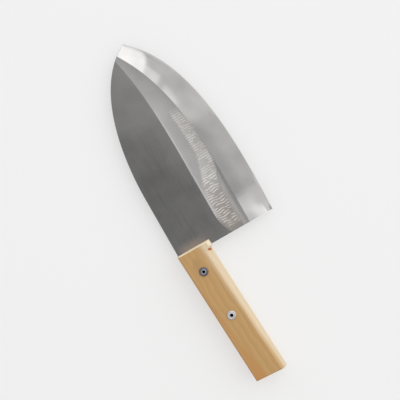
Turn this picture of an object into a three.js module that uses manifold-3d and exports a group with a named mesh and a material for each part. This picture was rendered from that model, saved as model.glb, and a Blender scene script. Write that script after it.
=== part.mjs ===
// Broad fish knife: a forged, wheel-ground blade whose tang is let into a slotted wooden handle
// and held there by two blind rivets, each pulled up against a washer sunk in the far side.
//
// Millimetres. X runs from the butt to the tip, Y from the edge to the spine, and Z stands up from
// the side that the knife lies on. While the pieces are made, the origin is the front spine-side
// corner of the handle, half way through its thickness; the finished knife is then moved so that
// its origin is the middle of its box, at the bottom.

import * as THREE from 'three';
import { mergeVertices } from 'three/addons/utils/BufferGeometryUtils.js';
import Module from 'manifold-3d';

const wasm = await Module();
wasm.setup();

const { degToRad, lerp, smoothstep } = THREE.MathUtils;

// Handle
const HANDLE_LENGTH = 126.5; // along the spine side
const HANDLE_HEIGHT = 31; // at the collar, the deeper stretch left at the front
const HANDLE_THICKNESS = 20;
const COLLAR_LENGTH = 6.5;
const COLLAR_RUNOUT = 2.5; // slope from the collar down to the grip
const GRIP_RELIEF = 1.6; // how far the grip's underside is planed back from the collar's
const GRIP_CHAMFER = 6; // along both lower edges of the grip
const COLLAR_CHAMFER = 3.3; // along both lower edges of the collar
const EDGE_EASE = 1.2; // small chamfer round both sides of the handle
const BUTT_SLANT = degToRad(6.5);
const BUTT_RADIUS = 2.2; // lower corner of the butt

// Blade, measured in its own frame: x from the heel to the tip, y up from the line of the spine
const BLADE_LENGTH = 188.3;
const BLADE_DROOP = degToRad(2.9); // the spine falls away from the line of the handle
const ROOT_DEPTH = 4.7; // how far the heel is let into the front of the handle
const SPINE_SINK = 0.25; // the spine starts this far under the handle's spine side
const SPINE_THICKNESS = 4; // at the heel
const TIP_THICKNESS = 2.8; // what the flats would taper to at the tip
const EDGE_THICKNESS = 0.3;
const TIP_DROP = 50; // tip under the line of the spine
const HEEL_HEIGHT = 91.7;

// Lines of the blade. Each curve leaves its first point and reaches its last one at a set angle,
// and its pulls say how long it holds on to those directions.
const SPINE_STRAIGHT = 61.8;
const SPINE_LINE = { startAngle: 0, startPull: 36.2, endAngle: degToRad(-62.4), endPull: 47.9 };
const EDGE_LINE = { startAngle: degToRad(-2.2), startPull: 82, endAngle: degToRad(48.6), endPull: 54.1 };
const HOLLOW_TOP_DEPTH = 45.9; // line where the flat ends, at the heel
const HOLLOW_TOP_END = 9.4; // it runs out on the spine this far before the tip
const HOLLOW_TOP_LINE = { startAngle: degToRad(1.8), startPull: 66, endAngle: degToRad(13), endPull: 56 };
const HOLLOW_HEEL_RUN = 20; // over this length the line bends down to the heel
const HOLLOW_HEEL_DROP = 5.6;
const BEVEL_TOP_DEPTH = 69.2; // line where the edge bevel begins, at the heel
const BEVEL_TOP_END = 6.6;
const BEVEL_TOP_LINE = { startAngle: degToRad(0.7), startPull: 65, endAngle: degToRad(33), endPull: 61 };

// Grinding
const HOLLOW_HEEL_SLOPE = 0.036; // fall across the hollow, per millimetre of its width
const HOLLOW_TIP_SLOPE = 0.012;
const WHEEL_RADIUS = 450; // grinding wheel that the hollow was made on
const RUN_IN_WIDTH = 2.2; // steeper strip where the wheel entered the flat
const RUN_IN_SLOPE = 0.045;
const RUN_IN_FADE = [95, 130]; // it dies out along this stretch of the blade
const LIP_WIDTH = 3.5; // strip where the hollow turns up to the edge bevel, at the heel
const LIP_SLOPE = 0.015;
const LIP_FADE = [25, 105];
const HEEL_DISH = 0.16; // how far the edge bevel is hollowed at the heel
const HEEL_DISH_FADE = [0, 24];
const HEEL_FACET = 4.6; // flat strip that honing left along the edge, at the heel
const HEEL_FACET_SPREAD = 0.14; // how fast that strip widens away from the heel
const HEEL_CROWN = 0.1; // how far its upper border stands out
const MOST_FACET = 0.36; // share of the edge bevel that the strip takes up at most
const TIP_DISH = 0.2; // and near the tip, where it grows along the second stretch
const TIP_DISH_FADE = [85, 140];

// Tang
const TANG_LENGTH = 78; // from the front of the handle
const TANG_SINK = 0.8; // under the handle's spine side
const TANG_ROOT_HEIGHT = 23.5;
const TANG_END_HEIGHT = 19.5;
const TANG_THICKNESS = 3.4;
const TANG_END_RADIUS = 5;
const SHOULDER_RADIUS = 3; // inner corner between tang and heel

// Rivets and their washers
const RIVET_SETBACK = 22.5; // front rivet, from the front of the handle
const RIVET_SPACING = 44.2;
const RIVET_DEPTH = 12.5; // under the handle's spine side
const SHANK_DIAMETER = 4;
const BORE_DIAMETER = 2.5;
const FLANGE_DIAMETER = 8;
const FLANGE_HEIGHT = 1;
const FLANGE_RIM = 0.4;
const BORE_LIP = 0.35; // rounding where the bore meets the flange
const TAIL_DIAMETER = 6.2;
const TAIL_LENGTH = 3.2;
const TAIL_WALL = 0.6;
const PIN_HEAD_DIAMETER = 3.4;
const PIN_HEAD_LENGTH = 2;
const PIN_STEM_LENGTH = 6;
const WASHER_DIAMETER = 10;
const WASHER_THICKNESS = 1;
const COUNTERBORE_DIAMETER = 11;
const COUNTERBORE_DEPTH = 5;

// Fits and fineness
const FIT = 0.15; // clearance all round a fitted piece
const OVERRUN = 5; // how far a cutter passes the surface that it cuts
const BLADE_STATIONS = 44;
const HOLLOW_STEPS = 8; // facets across the hollow
const BEVEL_STEPS = 4; // facets across the edge bevel, down to the honed strip
const ROUND_SIDES = 24;
const PROFILE_STEPS = 4; // facets along each curve of a turned profile
const CORNER_STEPS = 6; // facets round each corner of an outline
const HALVINGS = 40; // steps in finding a place on a curve

const GRIP_HEIGHT = HANDLE_HEIGHT - GRIP_RELIEF;
const HALF_HANDLE = HANDLE_THICKNESS / 2;
const DROOP_SLOPE = Math.tan(BLADE_DROOP);
const RIVETS = [
  { name: 'front', x: -RIVET_SETBACK },
  { name: 'rear', x: -RIVET_SETBACK - RIVET_SPACING },
];

const STEEL = { color: 0x9a9b9d, roughness: 0.35, metalness: 1 };
const WOOD = { color: 0xc49a5e, roughness: 0.6, metalness: 0 };
const ALUMINIUM = { color: 0xb9bbc0, roughness: 0.4, metalness: 1 };
const ZINC_PLATE = { color: 0x8f9296, roughness: 0.45, metalness: 1 };

// Solids

function solid(geometry) {
  geometry.deleteAttribute('normal');
  geometry.deleteAttribute('uv');
  const merged = mergeVertices(geometry);
  return new wasm.Manifold(new wasm.Mesh({
    numProp: 3,
    vertProperties: merged.attributes.position.array,
    triVerts: new Uint32Array(merged.index.array),
  }));
}

function geometryOf(body) {
  const { vertProperties, triVerts } = body.getMesh();
  const geometry = new THREE.BufferGeometry();
  geometry.setAttribute('position', new THREE.BufferAttribute(vertProperties, 3));
  geometry.setIndex(new THREE.BufferAttribute(triVerts, 1));
  geometry.computeVertexNormals();
  return geometry;
}

// A flat plate of the given outline, centred on the blade's plane
function plate(outline, thickness) {
  const geometry = new THREE.ExtrudeGeometry(outline, {
    depth: thickness,
    bevelEnabled: false,
    curveSegments: CORNER_STEPS,
  });
  return geometry.translate(0, 0, -thickness / 2);
}

function drill(x, diameter, bottom, top) {
  const geometry = new THREE.CylinderGeometry(diameter / 2, diameter / 2, top - bottom, ROUND_SIDES);
  return solid(geometry.rotateX(Math.PI / 2).translate(x, -RIVET_DEPTH, (top + bottom) / 2));
}

// A body of revolution about a rivet's axis; the profile's points are (radius, height)
function turned(profile, x) {
  const geometry = new THREE.LatheGeometry(profile.getPoints(PROFILE_STEPS), ROUND_SIDES);
  return geometry.rotateX(Math.PI / 2).translate(x, -RIVET_DEPTH, 0);
}

// A closed skin over sections that all have the same number of points
function loft(sections) {
  const size = sections[0].length;
  const points = sections.flat();
  const faces = [];
  const closeEnd = (first, flip) => {
    for (let low = 0, high = size - 1; low < high; low++, high--) {
      const corners = [[low, low + 1, high], [low + 1, high - 1, high]];
      for (const [a, b, c] of corners) {
        faces.push(flip ? [first + a, first + c, first + b] : [first + a, first + b, first + c]);
      }
    }
  };
  closeEnd(0, true);
  for (let start = 0; start + size < points.length; start += size) {
    for (let i = 0; i < size; i++) {
      const here = start + i;
      const next = start + ((i + 1) % size);
      faces.push([here, next, here + size], [next, next + size, here + size]);
    }
  }
  closeEnd(points.length - size, false);
  const isReal = ([a, b, c]) => new THREE.Triangle(points[a], points[b], points[c]).getArea() > 0;
  const geometry = new THREE.BufferGeometry().setFromPoints(points);
  geometry.setIndex(faces.filter(isReal).flat());
  return geometry;
}

// Lines of the blade

function sweep(start, end, { startAngle, startPull, endAngle, endPull }) {
  const along = (angle, pull) => new THREE.Vector2(Math.cos(angle), Math.sin(angle)).multiplyScalar(pull);
  const leave = start.clone().add(along(startAngle, startPull));
  const arrive = end.clone().sub(along(endAngle, endPull));
  return new THREE.CubicBezierCurve(start, leave, arrive, end);
}

// Height of a curve at x; past its ends the curve goes on along its end directions
function heightAt(curve, x) {
  let low = 0;
  let high = 1;
  for (let halving = 0; halving < HALVINGS; halving++) {
    const middle = (low + high) / 2;
    if (curve.getPoint(middle).x < x) low = middle;
    else high = middle;
  }
  const point = curve.getPoint(low);
  const direction = curve.getTangent(low);
  return point.y + (x - point.x) * (direction.y / direction.x);
}

const tip = new THREE.Vector2(BLADE_LENGTH, -TIP_DROP);
const spineCurve = sweep(new THREE.Vector2(SPINE_STRAIGHT, 0), tip, SPINE_LINE);
const edgeCurve = sweep(new THREE.Vector2(0, -HEEL_HEIGHT), tip, EDGE_LINE);

const spineAt = (x) => (x < SPINE_STRAIGHT ? 0 : heightAt(spineCurve, x));
const edgeAt = (x) => heightAt(edgeCurve, x);

// A ridge runs from the heel to the place where it meets the spine
function ridge(depth, endBeforeTip, line) {
  const endX = BLADE_LENGTH - endBeforeTip;
  return sweep(new THREE.Vector2(0, -depth), new THREE.Vector2(endX, spineAt(endX)), line);
}

const hollowTopCurve = ridge(HOLLOW_TOP_DEPTH, HOLLOW_TOP_END, HOLLOW_TOP_LINE);
const bevelTopCurve = ridge(BEVEL_TOP_DEPTH, BEVEL_TOP_END, BEVEL_TOP_LINE);

function hollowTopAt(x) {
  const toHeel = Math.max(1 - x / HOLLOW_HEEL_RUN, 0);
  return heightAt(hollowTopCurve, x) - HOLLOW_HEEL_DROP * toHeel ** 2;
}

const bevelTopAt = (x) => heightAt(bevelTopCurve, x);

// Where the honed strip along the edge begins
function facetTopAt(x) {
  const widened = HEEL_FACET + HEEL_FACET_SPREAD * Math.min(x, HEEL_DISH_FADE[1]);
  return edgeAt(x) + Math.min(widened, MOST_FACET * (bevelTopAt(x) - edgeAt(x)));
}

// 0 at both ends and 1 in the middle
const bowl = (share) => 4 * share * (1 - share);

// How much is ground off the edge bevel at the heel: a dish down to the border of the honed strip,
// which itself is left standing out
function heelGrind(x, share, border) {
  const dish = bowl(Math.min(share / border, 1));
  const crown = share < border ? share / border : (1 - share) / (1 - border);
  return (HEEL_DISH * dish - HEEL_CROWN * crown) * (1 - smoothstep(x, ...HEEL_DISH_FADE));
}

// Half the blade's thickness: a tapering flat, then the wheel's hollow from its run-in to its lip,
// then the dished edge bevel
function halfThickness(x, y) {
  const along = x / BLADE_LENGTH;
  const flat = lerp(SPINE_THICKNESS, TIP_THICKNESS, along) / 2;
  const top = hollowTopAt(x);
  const bottom = bevelTopAt(x);
  if (y >= top) return flat;
  const width = top - bottom;
  const across = Math.min(top - y, width);
  const fall = lerp(HOLLOW_HEEL_SLOPE, HOLLOW_TIP_SLOPE, along) * across;
  const sag = across * (width - across) / (2 * WHEEL_RADIUS);
  const entered = Math.min(across, RUN_IN_WIDTH);
  const fullRunIn = RUN_IN_SLOPE * (entered - entered ** 2 / (2 * RUN_IN_WIDTH));
  const runIn = fullRunIn * (1 - smoothstep(x, ...RUN_IN_FADE));
  const lipWidth = LIP_WIDTH * (1 - smoothstep(x, ...LIP_FADE));
  const lip = LIP_SLOPE * Math.max(0, across - width + lipWidth);
  const hollow = flat - fall - sag - runIn + lip;
  if (y >= bottom) return hollow;
  const bevel = bottom - edgeAt(x);
  const share = (bottom - y) / bevel;
  const heel = heelGrind(x, share, (bottom - facetTopAt(x)) / bevel);
  const tipDish = TIP_DISH * smoothstep(x, ...TIP_DISH_FADE) * bowl(share);
  return lerp(hollow, EDGE_THICKNESS / 2, share) - heel - tipDish;
}

// The blade

// Share of the way at a step, with the steps closer together at both ends
const crowdedEnds = (step, steps) => (1 - Math.cos(Math.PI * step / steps)) / 2;

// Cross-section at x: down one side from spine to edge, and up the other side
function bladeSection(x) {
  const spine = spineAt(x);
  const edge = edgeAt(x);
  const top = Math.min(hollowTopAt(x), spine);
  const bottom = Math.min(bevelTopAt(x), spine);
  const facetTop = Math.min(facetTopAt(x), bottom);
  const heights = [spine];
  for (let i = 0; i < HOLLOW_STEPS; i++) heights.push(lerp(top, bottom, crowdedEnds(i, HOLLOW_STEPS)));
  for (let i = 0; i < BEVEL_STEPS; i++) heights.push(lerp(bottom, facetTop, i / BEVEL_STEPS));
  heights.push(facetTop, edge);
  const side = heights.map((y) => new THREE.Vector3(x, y, halfThickness(x, y)));
  const farSide = side.map((point) => new THREE.Vector3(x, point.y, -point.z)).reverse();
  return [...side, ...farSide];
}

// Stations lie close together at the heel and at the tip, where the lines bend most
function bladeGeometry() {
  const sections = [];
  for (let i = 0; i <= BLADE_STATIONS; i++) {
    sections.push(bladeSection(BLADE_LENGTH * crowdedEnds(i, BLADE_STATIONS)));
  }
  return placeOnHandle(loft(sections));
}

// From the blade's frame to the handle's
function placeOnHandle(geometry) {
  return geometry.rotateZ(-BLADE_DROOP).translate(-ROOT_DEPTH, -SPINE_SINK, 0);
}

const heelAt = (y) => -ROOT_DEPTH + (y + SPINE_SINK) * DROOP_SLOPE;

// Tang outline, grown all round; its top edge is given, because the slot for it is open there
function tangOutline(grow, topEdge) {
  const rootBottom = -TANG_SINK - TANG_ROOT_HEIGHT - grow;
  const endBottom = -TANG_SINK - TANG_END_HEIGHT - grow;
  const end = -TANG_LENGTH - grow;
  const filletY = -TANG_SINK - TANG_ROOT_HEIGHT - SHOULDER_RADIUS;
  const filletX = heelAt(filletY) - SHOULDER_RADIUS;
  const outline = new THREE.Shape();
  outline.moveTo(0, topEdge);
  outline.lineTo(end, topEdge);
  outline.lineTo(end, endBottom + TANG_END_RADIUS);
  outline.quadraticCurveTo(end, endBottom, end + TANG_END_RADIUS, endBottom);
  outline.lineTo(filletX, rootBottom);
  outline.absarc(filletX, filletY, SHOULDER_RADIUS - grow, Math.PI / 2, 0, true);
  outline.lineTo(0, filletY);
  return outline;
}

function makeBlade() {
  let body = solid(bladeGeometry());
  body = body.add(solid(plate(tangOutline(0, -TANG_SINK), TANG_THICKNESS)));
  for (const rivet of RIVETS) {
    body = body.subtract(drill(rivet.x, SHANK_DIAMETER + 2 * FIT, -HALF_HANDLE, HALF_HANDLE));
  }
  return geometryOf(body);
}

// The handle

function handleOutline() {
  const buttAt = (y) => -HANDLE_LENGTH + y * Math.tan(BUTT_SLANT);
  const corner = buttAt(-GRIP_HEIGHT);
  const outline = new THREE.Shape();
  outline.moveTo(0, 0);
  outline.lineTo(-HANDLE_LENGTH, 0);
  outline.lineTo(buttAt(-GRIP_HEIGHT + BUTT_RADIUS), -GRIP_HEIGHT + BUTT_RADIUS);
  outline.quadraticCurveTo(corner, -GRIP_HEIGHT, corner + BUTT_RADIUS, -GRIP_HEIGHT);
  outline.lineTo(-COLLAR_LENGTH - COLLAR_RUNOUT, -GRIP_HEIGHT);
  outline.lineTo(-COLLAR_LENGTH, -HANDLE_HEIGHT);
  outline.lineTo(-HANDLE_HEIGHT * DROOP_SLOPE, -HANDLE_HEIGHT);
  return outline;
}

function handleBlock() {
  const depth = HANDLE_THICKNESS - 2 * EDGE_EASE;
  const geometry = new THREE.ExtrudeGeometry(handleOutline(), {
    depth,
    bevelThickness: EDGE_EASE,
    bevelSize: EDGE_EASE,
    bevelOffset: -EDGE_EASE,
    bevelSegments: 1,
    curveSegments: CORNER_STEPS,
  });
  return solid(geometry.translate(0, 0, -depth / 2));
}

// Cutter for one lower edge of the handle: a wide chamfer along the grip, and a small one along the collar
function edgeChamfer(side) {
  const across = (x, height, chamfer) => [
    new THREE.Vector3(x, -height + chamfer + OVERRUN, side * (HALF_HANDLE + OVERRUN)),
    new THREE.Vector3(x, -height - OVERRUN, side * (HALF_HANDLE + OVERRUN)),
    new THREE.Vector3(x, -height - OVERRUN, side * (HALF_HANDLE - chamfer - OVERRUN)),
  ];
  const sections = [
    across(-HANDLE_LENGTH - HANDLE_HEIGHT, GRIP_HEIGHT, GRIP_CHAMFER),
    across(-COLLAR_LENGTH - COLLAR_RUNOUT, GRIP_HEIGHT, GRIP_CHAMFER),
    across(-COLLAR_LENGTH, HANDLE_HEIGHT, COLLAR_CHAMFER),
    across(OVERRUN, HANDLE_HEIGHT, COLLAR_CHAMFER),
  ];
  return solid(loft(side > 0 ? sections : sections.map((points) => points.reverse())));
}

// Slot for the tang, sawn from the spine side, and the cut through the front for the blade's root
function handleSlot() {
  const root = new THREE.Shape();
  root.moveTo(-FIT, OVERRUN);
  root.lineTo(-FIT, -HANDLE_HEIGHT - OVERRUN);
  root.lineTo(ROOT_DEPTH + OVERRUN, -HANDLE_HEIGHT - OVERRUN);
  root.lineTo(ROOT_DEPTH + OVERRUN, OVERRUN);
  const rootCut = placeOnHandle(plate(root, SPINE_THICKNESS + 2 * FIT));
  const tangCut = plate(tangOutline(FIT, OVERRUN), TANG_THICKNESS + 2 * FIT);
  return solid(rootCut).add(solid(tangCut));
}

function makeHandle() {
  let body = handleBlock().subtract(handleSlot());
  for (const side of [1, -1]) body = body.subtract(edgeChamfer(side));
  for (const rivet of RIVETS) {
    const low = -HALF_HANDLE - OVERRUN;
    const hole = drill(rivet.x, SHANK_DIAMETER + 2 * FIT, low, HALF_HANDLE + OVERRUN);
    const counterbore = drill(rivet.x, COUNTERBORE_DIAMETER, low, -HALF_HANDLE + COUNTERBORE_DEPTH);
    body = body.subtract(hole).subtract(counterbore);
  }
  return geometryOf(body);
}

// Rivets: heights along the axis, from the far side up
const WASHER_TOP = -HALF_HANDLE + COUNTERBORE_DEPTH - FIT;
const TAIL_TOP = WASHER_TOP - WASHER_THICKNESS - FIT;
const TAIL_END = TAIL_TOP - TAIL_LENGTH;
const FLANGE_SEAT = HALF_HANDLE + FIT;
const BORE_RADIUS = BORE_DIAMETER / 2;
const POCKET_RADIUS = PIN_HEAD_DIAMETER / 2 + FIT;
const POCKET_TOP = TAIL_END + PIN_HEAD_LENGTH + FIT;

// Body of a set blind rivet: flange, shank and swollen tail round an open bore
function makeRivet(x) {
  const shank = SHANK_DIAMETER / 2;
  const flange = FLANGE_DIAMETER / 2;
  const tail = TAIL_DIAMETER / 2;
  const top = FLANGE_SEAT + FLANGE_HEIGHT;
  const profile = new THREE.Path();
  profile.moveTo(BORE_RADIUS, top - BORE_LIP);
  profile.lineTo(BORE_RADIUS, POCKET_TOP + POCKET_RADIUS - BORE_RADIUS);
  profile.lineTo(POCKET_RADIUS, POCKET_TOP);
  profile.lineTo(POCKET_RADIUS, TAIL_END);
  profile.lineTo(POCKET_RADIUS + TAIL_WALL, TAIL_END);
  profile.quadraticCurveTo(tail, TAIL_END, tail, TAIL_TOP - TAIL_LENGTH / 2);
  profile.quadraticCurveTo(tail, TAIL_TOP, shank + TAIL_WALL, TAIL_TOP);
  profile.lineTo(shank, TAIL_TOP);
  profile.lineTo(shank, FLANGE_SEAT);
  profile.lineTo(flange, FLANGE_SEAT);
  profile.lineTo(flange, FLANGE_SEAT + FLANGE_RIM);
  profile.quadraticCurveTo((shank + flange) / 2, top, BORE_RADIUS + BORE_LIP, top);
  profile.quadraticCurveTo(BORE_RADIUS, top, BORE_RADIUS, top - BORE_LIP);
  return turned(profile, x);
}

// What is left of the pulled pin: its head caught in the tail, and the stub of its stem
function makePin(x) {
  const stem = BORE_RADIUS - FIT;
  const head = PIN_HEAD_DIAMETER / 2;
  const headTop = TAIL_END + PIN_HEAD_LENGTH;
  const profile = new THREE.Path();
  profile.moveTo(0, TAIL_END);
  profile.lineTo(head, TAIL_END);
  profile.lineTo(head, headTop);
  profile.lineTo(stem, headTop + head - stem);
  profile.lineTo(stem, headTop + PIN_STEM_LENGTH);
  profile.lineTo(0, headTop + PIN_STEM_LENGTH);
  return turned(profile, x);
}

function makeWasher(x) {
  const inner = SHANK_DIAMETER / 2 + FIT;
  const outer = WASHER_DIAMETER / 2;
  const bottom = WASHER_TOP - WASHER_THICKNESS;
  const profile = new THREE.Path();
  profile.moveTo(inner, WASHER_TOP);
  profile.lineTo(inner, bottom);
  profile.lineTo(outer, bottom);
  profile.lineTo(outer, WASHER_TOP);
  profile.lineTo(inner, WASHER_TOP);
  return turned(profile, x);
}

// The knife

const knife = new THREE.Group();

function addPiece(name, geometry, finish) {
  const mesh = new THREE.Mesh(geometry, new THREE.MeshStandardMaterial(finish));
  mesh.name = name;
  knife.add(mesh);
}

addPiece('blade', makeBlade(), STEEL);
addPiece('handle', makeHandle(), WOOD);
for (const { name, x } of RIVETS) {
  addPiece(`${name}_rivet`, makeRivet(x), ALUMINIUM);
  addPiece(`${name}_rivet_pin`, makePin(x), ZINC_PLATE);
  addPiece(`${name}_washer`, makeWasher(x), ZINC_PLATE);
}

const box = new THREE.Box3().setFromObject(knife);
const middle = box.getCenter(new THREE.Vector3());
knife.position.set(-middle.x, -middle.y, -box.min.z);

export default knife;
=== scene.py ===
"""Broad fish knife: the visible pieces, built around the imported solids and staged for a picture."""

import math
from bisect import bisect_right
from typing import NamedTuple

import bmesh
import bpy
from bpy.props import FloatProperty, FloatVectorProperty, PointerProperty
from mathutils import Matrix, Vector, noise
from mathutils.geometry import interpolate_bezier


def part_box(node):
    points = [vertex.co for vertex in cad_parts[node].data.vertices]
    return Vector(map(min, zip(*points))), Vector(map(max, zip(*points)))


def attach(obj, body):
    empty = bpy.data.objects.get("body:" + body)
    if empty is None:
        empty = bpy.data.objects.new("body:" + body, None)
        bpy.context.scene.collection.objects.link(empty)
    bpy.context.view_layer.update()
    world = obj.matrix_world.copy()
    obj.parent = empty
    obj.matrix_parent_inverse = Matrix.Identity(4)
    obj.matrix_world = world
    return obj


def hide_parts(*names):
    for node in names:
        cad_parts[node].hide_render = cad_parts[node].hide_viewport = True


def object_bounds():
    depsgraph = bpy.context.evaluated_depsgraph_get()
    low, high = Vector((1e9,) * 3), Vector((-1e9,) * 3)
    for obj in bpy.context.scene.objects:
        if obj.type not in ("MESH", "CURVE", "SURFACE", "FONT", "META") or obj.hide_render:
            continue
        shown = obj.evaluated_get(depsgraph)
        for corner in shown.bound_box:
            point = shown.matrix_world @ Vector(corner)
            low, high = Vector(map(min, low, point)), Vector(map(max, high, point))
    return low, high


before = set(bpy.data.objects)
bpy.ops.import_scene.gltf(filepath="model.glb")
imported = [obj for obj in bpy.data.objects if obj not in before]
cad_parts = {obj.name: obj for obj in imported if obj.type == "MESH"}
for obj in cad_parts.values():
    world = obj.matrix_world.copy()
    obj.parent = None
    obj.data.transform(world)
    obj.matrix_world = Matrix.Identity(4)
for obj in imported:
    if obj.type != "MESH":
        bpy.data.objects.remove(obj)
CAD_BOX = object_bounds()

bl_info = {
    "name": "Broad fish knife",
    "version": (1, 0, 0),
    "blender": (4, 5, 0),
    "location": "View3D > Sidebar > Knife",
    "description": "Builds the steel, wood and rivets of a broad fish knife around its solids",
    "category": "Object",
}

MM = 0.001
MERGE = 0.001 * MM


# Values that a user sets


def linear(hex_colour):
    """An sRGB hex colour, such as #c8a56e, as linear RGBA."""
    channels = [int(hex_colour[i : i + 2], 16) / 255 for i in (1, 3, 5)]
    return [c / 12.92 if c <= 0.04045 else ((c + 0.055) / 1.055) ** 2.4 for c in channels] + [1.0]


def size(name, description, mm):
    """A length, given in millimetres."""
    return FloatProperty(name=name, description=description, default=mm * MM, unit="LENGTH", precision=5)


def angle(name, description, degrees):
    return FloatProperty(
        name=name, description=description, default=math.radians(degrees), unit="ROTATION"
    )


def paint(name, description, hex_colour):
    return FloatVectorProperty(
        name=name, description=description, default=linear(hex_colour), size=4, subtype="COLOR", min=0, max=1
    )


def amount(name, description, value):
    return FloatProperty(name=name, description=description, default=value, min=0)


class BladeSettings(bpy.types.PropertyGroup):
    """Sizes and colours of the blade"""

    length: size("Length", "From the heel to the tip", 188.3)
    heel_height: size("Heel height", "From the spine to the edge at the heel", 91.7)
    tip_drop: size("Tip drop", "Tip under the line of the spine", 50)
    droop: angle("Droop", "How far the spine falls away from the line of the handle", 2.9)
    root_depth: size("Root depth", "How far the heel is let into the handle", 4.7)
    spine_sink: size("Spine sink", "Spine under the handle's spine side", 0.25)
    spine_thickness: size("Spine thickness", "At the heel", 4)
    tip_thickness: size("Tip thickness", "What the flats would taper to at the tip", 2.8)
    edge_thickness: size("Edge thickness", "Behind the honed edge", 0.3)
    spine_rounding: size("Spine rounding", "Radius along both corners of the spine", 0.45)
    wheel_radius: size("Wheel radius", "Grinding wheel that made the hollow", 450)
    run_in_width: size("Run-in width", "Steeper strip where the wheel entered the flat", 2.2)
    lip_width: size("Lip width", "Strip at the heel where the hollow turns up to the bevel", 3.5)
    heel_dish: size("Heel dish", "How far the bevel is ground hollow at the heel", 0.16)
    tip_dish: size("Tip dish", "How far the bevel is ground hollow at the tip", 0.2)
    hone_width: size("Honed width", "Slightly steeper strip along the cutting edge", 2)
    heel_facet: size("Heel facet", "Flat strip that honing left along the edge at the heel", 4.6)
    heel_crown: size("Heel crown", "How far the upper border of that strip stands out", 0.1)
    mark_spacing: size("Mark spacing", "Between the wheel's chatter marks at the heel", 2.3)
    tip_mark_spacing: size("Tip mark spacing", "Between the marks where they crowd toward the tip", 2.1)
    mark_width: size("Mark width", "Of one chatter mark at the heel", 1.8)
    mark_depth: size("Mark depth", "Of the deepest chatter marks", 0.035)
    flat_colour: paint("Flats", "Dull rolled steel", "#a7a6a5")
    # The cloud colours paint a darker reflection of the room in patches
    flat_reflection_cloud_colour: paint("Flat clouds", "Duller patches of the flats", "#979695")
    # Painted reflection of the handle's wood in the flats
    handle_reflection_colour: paint("Stain", "Steel by the handle, tinted by wet wood", "#e4cebc")
    hollow_colour: paint("Hollow", "Wheel-ground steel", "#bbb9b7")
    hollow_reflection_cloud_colour: paint("Hollow clouds", "Duller patches of the hollow", "#aeacaa")
    # Painted glints in the wheel's marks
    mark_glint_colour: paint("Marks", "Fresh bright steel in the chatter marks", "#ede8e4")
    # Darker colour of the hollow at the heel
    heel_dark_colour: paint("Scoured ground", "Rough steel between the marks at the heel", "#928c86")
    bevel_colour: paint("Bevel", "Whetted steel", "#afaeac")
    bevel_reflection_cloud_colour: paint("Bevel clouds", "Duller patches of the bevel", "#9e9c9b")


class HandleSettings(bpy.types.PropertyGroup):
    """Sizes and colours of the handle"""

    softening: size("Softening", "Rounding that sanding left on each edge", 0.5)
    ring_spacing: size("Ring spacing", "Between growth rings", 3.4)
    heart_colour: paint("Heartwood", "Honey-coloured wood on the spine side", "#d4aa70")
    late_colour: paint("Late wood", "Darker line of each ring", "#b58a52")
    # The sapwood's pale colours also paint the light that falls on the chamfer
    sap_and_chamfer_light_colour: paint("Sapwood", "Pale wood on the edge side", "#f4e0c0")
    late_sap_and_chamfer_light_colour: paint("Late sapwood", "Darker line of each ring in the sapwood", "#dcc299")
    # Painted light: the pale colour of faces that look toward the lamps
    lit_face_colour: paint("Fresh cut", "Newly cut faces at the front end", "#fff0d4")
    warm_colour: paint("Warm streaks", "Orange tinge toward the spine and the butt", "#cb9152")
    # Painted shade on the step at the chamfer's run-out
    scorch_colour: paint("Scorch", "Where the saw burnt the run-out of the chamfer", "#b8601a")
    smudge_colour: paint("Smudge", "Where hands have darkened the wood", "#a3835a")


class RivetSettings(bpy.types.PropertyGroup):
    """Sizes and colours of the rivets, their pins and their washers"""

    bore: size("Bore", "Hole that the pin was pulled through", 2.5)
    shank: size("Shank", "Body of the rivet", 4)
    rim: size("Rim", "Height of the flange at its rim", 0.45)
    groove: size("Groove", "Dip in the flange round the crater of the bore", 0.22)
    tail_wall: size("Tail wall", "Metal round the head of the pin", 0.6)
    pin_head: size("Pin head", "Length of the head of the pin", 2)
    rounding: size("Rounding", "Radius on the turned corners", 0.15)
    bright_colour: paint("Bright aluminium", "Rear rivet, and the craters of both", "#e6e3e7")
    # Painted shade: a darker copy of the aluminium for the front rivet's flange
    shaded_flange_colour: paint("Tarnished aluminium", "Flange of the front rivet", "#7e7c84")
    plate_colour: paint("Zinc plate", "Plated steel of pins and washers", "#9c9ea1")
    # Painted shade inside the bore
    bore_shade_colour: paint("Bore soot", "Dark inside of a pulled rivet", "#0b0b0c")


class StageSettings(bpy.types.PropertyGroup):
    """Camera, floor and light"""

    camera_height: size("Camera height", "Over the blade's upper flat", 750)
    camera_turn: angle("Camera turn", "Of the picture round the vertical", -122.7)
    view_width: size("View width", "Across the picture at the blade's upper flat", 346.4)
    view_x: size("View X", "Middle of the picture", 5.326)
    view_y: size("View Y", "Middle of the picture", 4.717)
    floor_colour: paint("Floor", "Pale table top", "#fafafa")
    dome_low: amount("Dome, dark side", "Light from the spine side of the room", 0.616)
    dome_high: amount("Dome, bright side", "Light from the edge side of the room", 1.12)
    overhead: amount("Overhead", "Share of the dome's light left in its dark ovals", 0.01)
    window: amount("Window", "Brightness of the soft light on the edge side", 0.55)
    sky_card: amount("Sky card", "Brightness of the wide card over the tip half", 0.381)
    tip_card: amount("Tip card", "Brightness of the card that the tip mirrors", 1.344)
    step_card: amount("Step card", "Brightness of the strip before the tip card", 0.56)
    wedge_card: amount("Wedge card", "Brightness of the card that the lower ridge mirrors", 0.448)
    belly_card: amount("Belly card", "Brightness of the card that the belly mirrors", 0.224)
    heel_card: amount("Heel card", "Brightness of the card that the heel mirrors", 0.739)
    heel_glow: amount("Heel glow", "Brightness of the wider card behind it", 0.627)


# Lines of the blade, in its own frame: x from the heel to the tip, y up from the line of the spine


class Line(NamedTuple):
    """How a curve leaves its first point and reaches its last: angles in degrees, pulls in millimetres."""

    start_angle: float
    start_pull: float
    end_angle: float
    end_pull: float


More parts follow.
